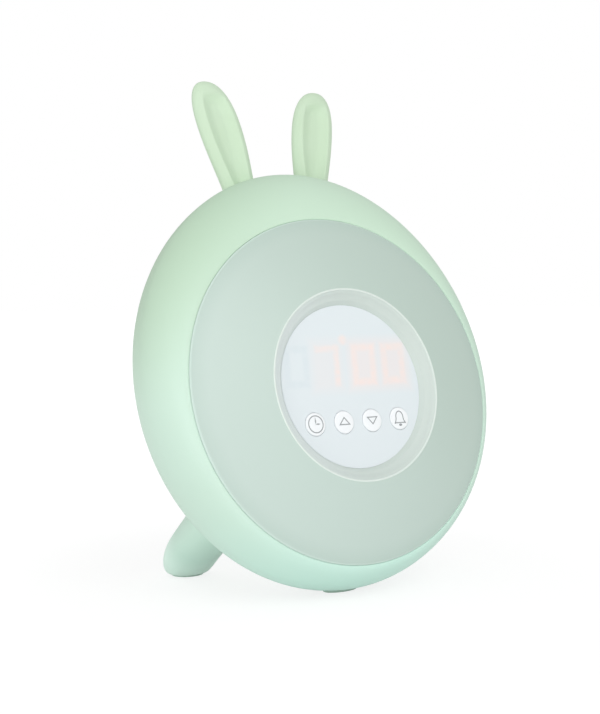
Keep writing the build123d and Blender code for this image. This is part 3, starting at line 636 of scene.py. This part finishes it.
def bar(distance):
    """A lit bar along the line where a distance is 0."""
    return lit(distance.math("ABSOLUTE"))


def halo(place):
    """The light round a digit."""
    return beyond_digit(place).fade(0, halo_reach)


across, up = digit_frame(seven_u)
seven_bars = bar(up - digit_half_height).math("MAXIMUM", bar(across - digit_half_width))
glow = lit(beyond_digit(seven_u)) * seven_bars
glow = glow.math("MAXIMUM", pane.from_axis(*signal_place).fade(*signal_reach))
glow_halo = halo(seven_u) * seven_halo_share
for zero_u in zero_places:
    glow = glow.math("MAXIMUM", bar(beyond_digit(zero_u)))
    glow_halo = glow_halo.math("MAXIMUM", halo(zero_u))
ghost = bar(beyond_digit(blank_u)) * pane.noise(2.5 * mm)
patches = pane.noise(3 * mm) * glow_gain - glow_loss
pane_colour = pane.mix(ghost, window_white, digit_ghost)
pane_colour = pane.mix(glow_halo * halo_share, pane_colour, digit_halo)
pane_colour = pane.mix(glow * patches, pane_colour, digit_glow)
pane.set("Base Color", pane_colour)
pane.grain(0.4 * mm, 0.002 * mm)
pane.wear_on("display_window")

# ------------------------------------------------------------------ keys
# Four round keys stand a little proud of the window. Each is one moulding: a stem on the plunger
# of its switch, a flange that stops it under the window, and a softly rounded white cap.
stem_radius = 1.6 * mm
stem_end = -0.8 * mm
flange_radius = 5.6 * mm
flange_back = 1.35 * mm
flange_front = 2.15 * mm
collar_radius = 4.65 * mm
collar_front = 3.35 * mm
cap_radius = 4.5 * mm
cap_back = 3.4 * mm
cap_round = 0.4 * mm
cap_loops = 5
cap_sides = 64
key_top = 4.3 * mm
key_pitch = 13.5 * mm
key_v = -14.35 * mm
key_names = ("time", "up", "down", "alarm")
key_middle = (len(key_names) - 1) / 2
key_places = [Vector(((i - key_middle) * key_pitch, key_v)) for i in range(len(key_names))]

key_profile = [
    (stem_radius, stem_end),
    (stem_radius, flange_back),
    (flange_radius, flange_back),
    (flange_radius, flange_front),
    (collar_radius, flange_front),
    (collar_radius, collar_front),
    (cap_radius, cap_back),
]
for roll in turns(cap_loops):
    radius = cap_radius - cap_round * (1 - math.cos(roll))
    key_profile.append((radius, key_top - cap_round * (1 - math.sin(roll))))

cap = Finish("key_cap", paint(246, 249, 251), 0.3, Coat_Weight=0.1)
cap.polish(1 * mm, 0.26, 0.36)

for name, place in zip(key_names, key_places):
    key_ovals = [flat_circle(radius, height, place) for radius, height in key_profile]
    key = Skin(f"{name}_cap", key_ovals, sides=cap_sides).finish("fill")
    cap.coat(key)
    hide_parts(f"{name}_key")
    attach(key, f"{name}_button")

# ------------------------------------------------------------------ key signs
# Thin grey outlines on the caps: a clock, an arrowhead up, one down and a bell. They are printed
# in ink that stands a hair above the plastic.
ink_thickness = 0.03 * mm
ink_line = 0.42 * mm
ink_dark = paint(146, 151, 153)
ink_light = paint(164, 168, 170)
ink = Finish("sign_ink", ink_dark, 0.5)
ink.cloud(0.5 * mm, ink_dark, ink_light)


def start_sign(name, place, corners, half_width, half_height):
    """A flat figure with a number of corners on a key's top, in edit mode."""
    bpy.ops.object.select_all(action="DESELECT")
    bpy.ops.mesh.primitive_circle_add(
        vertices=corners, radius=1, fill_type="NGON", location=(*place, key_top)
    )
    sign = bpy.context.object
    sign.name = name
    bpy.ops.object.mode_set(mode="EDIT")
    bpy.ops.mesh.select_all(action="SELECT")
    bpy.ops.transform.resize(value=(half_width, half_height, 1), center_override=sign.location)
    return sign


def outline_sign():
    """Leaves only the line round the selected figure."""
    bpy.ops.mesh.inset(thickness=ink_line, use_even_offset=True)
    bpy.ops.mesh.delete(type="FACE")


def finish_sign(sign, body):
    """Raises the figure by the ink's thickness and fixes it to its key."""
    bpy.ops.mesh.select_all(action="SELECT")
    bpy.ops.mesh.extrude_region_move(TRANSFORM_OT_translate={"value": (0, 0, ink_thickness)})
    bpy.ops.mesh.select_all(action="SELECT")
    bpy.ops.mesh.normals_make_consistent(inside=False)
    bpy.ops.object.mode_set(mode="OBJECT")
    settle(sign, on_face, smooth=30)
    ink.coat(sign)
    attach(sign, body)


clock_place, up_place, down_place, bell_place = key_places
dial_radius = 3.5 * mm
dial_corners = 48
dial = start_sign("clock_dial", clock_place, dial_corners, dial_radius, dial_radius)
outline_sign()
finish_sign(dial, "time_button")

# Each hand is a slim lozenge that starts a little behind the dial's centre.
long_hand = 2.5 * mm
short_hand = 2.0 * mm
hand_half_width = ink_line * 0.72
hand_reach = 0.62  # half the lozenge, as a share of the hand
hands = (
    ("clock_long_hand", (0, long_hand / 2), hand_half_width, long_hand * hand_reach),
    ("clock_short_hand", (short_hand / 2, 0), short_hand * hand_reach, hand_half_width),
)
for name, offset, half_width, half_height in hands:
    hand = start_sign(name, clock_place + Vector(offset), 4, half_width, half_height)
    finish_sign(hand, "time_button")

# A figure with three corners and a radius of 1 is 1.5 high and twice the sine of 60 degrees wide.
arrow_half_width = 2.75 * mm
arrow_height = 3.3 * mm
arrow_rise = 0.4 * mm
arrow_stretch = arrow_half_width / math.sin(math.radians(60))
for name, place, way, body in (
    ("arrow_up", up_place, 1, "up_button"),
    ("arrow_down", down_place + Vector((0, arrow_rise)), -1, "down_button"),
):
    arrow = start_sign(name, place, 3, arrow_stretch, way * arrow_height / 1.5)
    outline_sign()
    finish_sign(arrow, body)

bell_waist = 1.95 * mm
bell_flare = 0.95 * mm
bell_height = 5.1 * mm
bell_shoulder = 0.5
bell_rise = 0.55 * mm
bell_corners = 48
crown_half_width = 0.01 * mm
bell_centre = bell_place + Vector((0, bell_rise))
bell = start_sign("bell", bell_centre, bell_corners, bell_waist, bell_height / 2)
bpy.ops.object.mode_set(mode="OBJECT")
for vertex in bell.data.vertices:
    if abs(vertex.co.x) < crown_half_width:
        continue
    share = vertex.co.y / bell_height + 0.5
    if share > bell_shoulder:
        run = (share - bell_shoulder) / (1 - bell_shoulder)
        half_width = bell_waist * math.sqrt(1 - run**2)
    else:
        half_width = bell_waist + bell_flare * (1 - share / bell_shoulder) ** 2
    vertex.co.x = math.copysign(half_width, vertex.co.x)
bpy.ops.object.mode_set(mode="EDIT")
bpy.ops.mesh.select_all(action="SELECT")
outline_sign()
finish_sign(bell, "alarm_button")

clapper_drop = 2.65 * mm
clapper_half_width = 0.75 * mm
clapper_half_height = 0.5 * mm
clapper_corners = 24
clapper_centre = bell_place - Vector((0, clapper_drop))
clapper = start_sign(
    "bell_clapper", clapper_centre, clapper_corners, clapper_half_width, clapper_half_height
)
finish_sign(clapper, "alarm_button")

# ------------------------------------------------------------------ ears
# Two soft horns of pale green silicone rubber, each scooped in front inside a rolled rim. A peg on
# each goes through the top of the housing and is held by a screw and a washer from inside.
ear_root_v = 84.0 * mm
ear_wide_v = 120.0 * mm
ear_tip_v = 140.15 * mm
ear_root_u = 17.0 * mm
ear_tip_u = 27.65 * mm
ear_w = -30.4 * mm
ear_root_half = 7.0 * mm
ear_wide_half = 10.4 * mm
ear_half_thickness = 4.6 * mm
ear_bend = 1.1
ear_swell_power = 1.7
ear_tip_power = 2.4
ear_rim = 3.5 * mm
ear_tip_rim = 6.0 * mm
ear_scoop = 3.3 * mm
ear_roll = 5.5 * mm
ear_sides = 112
ear_low_loops = 26
ear_tip_loops = 18
ear_last_turn = math.radians(88.5)
ear_heights = [
    ear_root_v + (ear_wide_v - ear_root_v) * step / ear_low_loops for step in range(ear_low_loops)
]
for turn in turns(ear_tip_loops, ear_last_turn):
    ear_heights.append(ear_wide_v + (ear_tip_v - ear_wide_v) * math.sin(turn))


def ear_oval(v):
    """Centre across, half width and half thickness of an ear at a height up the face."""
    climb = (v - ear_root_v) / (ear_tip_v - ear_root_v)
    centre = ear_root_u + (ear_tip_u - ear_root_u) * climb**ear_bend
    if v < ear_wide_v:
        turn = math.pi / 2 * (v - ear_root_v) / (ear_wide_v - ear_root_v)
        swell = math.sin(turn) ** ear_swell_power
        half_width = ear_root_half + (ear_wide_half - ear_root_half) * swell
        return centre, half_width, ear_half_thickness
    run = (v - ear_wide_v) / (ear_tip_v - ear_wide_v)
    close = (1 - run**ear_tip_power) ** (1 / ear_tip_power)
    return centre, ear_wide_half * close, ear_half_thickness * close


def slope_in(distance):
    """How far a scoop has sunk at a distance inside its rim: quickly at first, then gently."""
    share = max(0.0, min(1.0, distance / ear_roll))
    return 1 - (1 - share) ** 2


silicone_light = paint(209, 230, 205)
silicone_deep = paint(202, 225, 196)
silicone = Finish("ear_rubber", silicone_light, 0.55, Specular_IOR_Level=0.3)
silicone.cloud(18 * mm, silicone_light, silicone_deep)
silicone.polish(0.8 * mm, 0.5, 0.6)
silicone.grain(0.4 * mm, 0.004 * mm)

for side, name in ((-1, "left"), (1, "right")):
    ear_ovals = []
    for v in ear_heights:
        centre, half_width, half_thickness = ear_oval(v)
        ear_ovals.append(((half_width, 1, half_thickness), (side * centre, v, ear_w)))
    ear_skin = Skin(f"{name}_ear_horn", ear_ovals, sides=ear_sides, turn=(math.pi / 2, 0, 0))
    bpy.ops.object.mode_set(mode="OBJECT")
    for vertex in ear_skin.piece.data.vertices:
        u, v, w = vertex.co
        if w <= ear_w:
            continue
        v = min(max(v, ear_root_v), ear_heights[-1])
        centre, half_width, half_thickness = ear_oval(v)
        from_side = half_width - abs(u - side * centre)
        from_tip = ear_tip_v - v
        hollow = slope_in(from_side - ear_rim) * slope_in(from_tip - ear_tip_rim)
        vertex.co.z -= ear_scoop * hollow * (w - ear_w) / half_thickness
    bpy.ops.object.mode_set(mode="EDIT")
    ear = ear_skin.finish("fill", smooth=60)
    silicone.coat(ear)
    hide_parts(f"ear_{name}")
    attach(ear, "clock")
steel.wear_on("ear_screws", "ear_washers")

# ------------------------------------------------------------------ feet and pads
# Two plump mint legs, screwed on from inside, stand the clock leaning back on its chin. Rubber
# pads under their soles and under the chin keep it from sliding.
leg_x = 40.6 * mm
leg_back = 53.6 * mm
leg_rake = math.radians(44)
leg_seat = 0.3 * mm
leg_sides = 40
leg_smoothing = 2
form_loops = 16
form_tip = 0.02 * mm
# Level ovals from the sole up, in millimetres: height, how far the oval's centre stands out and
# back from the leg's raked axis, half width and half length.
leg_shape = (
    (0.5, -1.6, 4.8, 4.0, 3.4),
    (0.5, -1.6, 4.8, 8.0, 6.6),
    (1.8, -1.1, 4.9, 9.8, 8.1),
    (5.0, 0.0, 5.2, 11.1, 10.0),
    (9.7, 0.8, 5.2, 12.1, 12.2),
    (17.3, 1.8, 4.2, 12.6, 15.0),
    (30.2, 0.2, 0.6, 12.4, 17.2),
    (46.0, 0.0, 0.0, 12.3, 17.0),
)

# The back of the body, a little smaller all round, cuts each leg's seat and is then taken away.
form_ovals = [body_oval(tail_depth - form_tip, leg_seat)]
for roll in reversed(turns(form_loops)[:-1]):
    depth = belly_depth + (tail_depth - belly_depth) * math.sin(roll) ** (2 / rear_power)
    form_ovals.append(body_oval(depth, leg_seat))
form_ovals += [body_oval(belly_depth / 2, leg_seat), body_oval(0, leg_seat)]
belly_form = Skin("belly_form", form_ovals).finish("fill")

for side, name in ((-1, "left"), (1, "right")):
    leg_ovals = []
    for height, out, back, half_width, half_length in leg_shape:
        centre = (
            side * (leg_x + out * mm),
            leg_back + back * mm - height * mm * math.tan(leg_rake),
            height * mm,
        )
        leg_ovals.append(((half_width * mm, half_length * mm, 1), centre))
    leg = Skin(f"{name}_leg", leg_ovals, sides=leg_sides).finish("fill", place=Matrix())
    bpy.ops.object.modifier_add(type="SUBSURF")
    round_off = leg.modifiers[-1]
    round_off.levels = round_off.render_levels = leg_smoothing
    bpy.ops.object.modifier_apply(modifier=round_off.name)
    bpy.ops.object.modifier_add(type="BOOLEAN")
    seat = leg.modifiers[-1]
    seat.operation = "DIFFERENCE"
    seat.object = belly_form
    bpy.ops.object.modifier_apply(modifier=seat.name)
    bpy.ops.object.shade_smooth_by_angle(angle=math.radians(crease_angle))
    mint.coat(leg)
    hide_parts(f"foot_{name}")
    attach(leg, "clock")
bpy.data.objects.remove(belly_form)
steel.wear_on("foot_screws", "foot_washers")

grip_light = paint(198, 222, 209)
grip_deep = paint(186, 212, 198)
grip = Finish("pad_rubber", grip_light, 0.8, Specular_IOR_Level=0.2)
grip.cloud(3 * mm, grip_light, grip_deep)
grip.grain(0.6 * mm, 0.02 * mm)
grip.wear_on("foot_pads")

chin_low, chin_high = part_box("chin_pad")
chin_place = (chin_low + chin_high) / 2
chin_half_width = 8.0 * mm
chin_half_length = 4.2 * mm
chin_round = 0.6 * mm
chin_loops = 3
chin_sides = 64
chin_ovals = [((chin_half_width, chin_half_length, 1), (chin_place.x, chin_place.y, chin_high.z))]
for roll in turns(chin_loops):
    inset = chin_round * (1 - math.cos(roll))
    half_sizes = (chin_half_width - inset, chin_half_length - inset, 1)
    height = chin_low.z + chin_round * (1 - math.sin(roll))
    chin_ovals.append((half_sizes, (chin_place.x, chin_place.y, height)))
chin_grip = Skin("chin_grip", chin_ovals, sides=chin_sides).finish("fill", place=Matrix())
grip.coat(chin_grip)
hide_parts("chin_pad")
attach(chin_grip, "clock")

# ------------------------------------------------------------------ floor, light and view
# The clock stands on a white sweep in soft, even light from three lamps and a pale sky. It is
# seen from a little to its left. Places are in metres.
camera_place = face_centre + Vector((-0.2754, -0.3890, 0.0388))
camera_aim = Vector((0.5444, 0.8370, -0.0558))
camera_turn = camera_aim.to_track_quat("-Z", "Y").to_euler()
bpy.ops.object.select_all(action="DESELECT")
bpy.ops.object.camera_add(location=camera_place, rotation=camera_turn)
camera = bpy.context.object
camera.name = "camera"
camera.data.sensor_width = 36
camera.data.lens = 60.5
bpy.context.scene.camera = camera
bpy.context.scene.view_settings.view_transform = "Standard"

bpy.ops.mesh.primitive_plane_add(size=12)
ground = bpy.context.object
ground.name = "floor"
# The camera sees the sweep's own even white, but near the clock some of the shadow shows too.
sweep_strength = 1.1
shadow_reach = (90 * mm, 300 * mm)
shadow_share = 0.28
sweep = Finish("white_sweep", (0.93, 0.93, 0.93), 0.9)
seen = sweep.node("ShaderNodeLightPath", output="Is Camera Ray")
mirrored = sweep.node("ShaderNodeLightPath", output="Is Glossy Ray")
white = sweep.node("ShaderNodeEmission", None, {"Color": (1, 1, 1), "Strength": sweep_strength})
away = sweep.node("ShaderNodeVectorMath", {"operation": "LENGTH"}, {0: sweep.place}, output="Value")
cover = seen.math("MAXIMUM", mirrored) * (1 - away.fade(*shadow_reach) * shadow_share)
shaded = Value(sweep, sweep.shader.outputs["BSDF"])
blend = sweep.node("ShaderNodeMixShader", None, {"Fac": cover, 1: shaded, 2: white})
sweep.join(sweep.tree.nodes["Material Output"].inputs["Surface"], blend)
ground.data.materials.append(sweep.material)

sky_light = 0.665
sky_seen = 1.0
world = bpy.data.worlds.new("studio")
bpy.context.scene.world = world
world.use_nodes = True
backdrop = world.node_tree
sky = backdrop.nodes["Background"]
sky.inputs["Color"].default_value = (1, 1, 1, 1)
rays = backdrop.nodes.new("ShaderNodeLightPath")
level = backdrop.nodes.new("ShaderNodeMapRange")
level.inputs["To Min"].default_value = sky_light
level.inputs["To Max"].default_value = sky_seen
backdrop.links.new(rays.outputs["Is Camera Ray"], level.inputs["Value"])
backdrop.links.new(level.outputs["Result"], sky.inputs["Strength"])

# How far each lamp stands from the face's centre, its size and its power in watts.
lamps = {
    "key_light": (Vector((-0.05, -0.55, 0.45)), 0.4, 1.1),
    "fill_light": (Vector((-0.48, -0.5, -0.05)), 0.5, 1.4),
    "low_light": (Vector((-0.55, -0.2, -0.06)), 0.3, 0.6),
}
for name, (offset, size, power) in lamps.items():
    lamp_turn = offset.to_track_quat("Z", "Y").to_euler()
    bpy.ops.object.light_add(type="AREA", location=face_centre + offset, rotation=lamp_turn)
    studio_lamp = bpy.context.object
    studio_lamp.name = name
    studio_lamp.data.size = size
    studio_lamp.data.energy = power
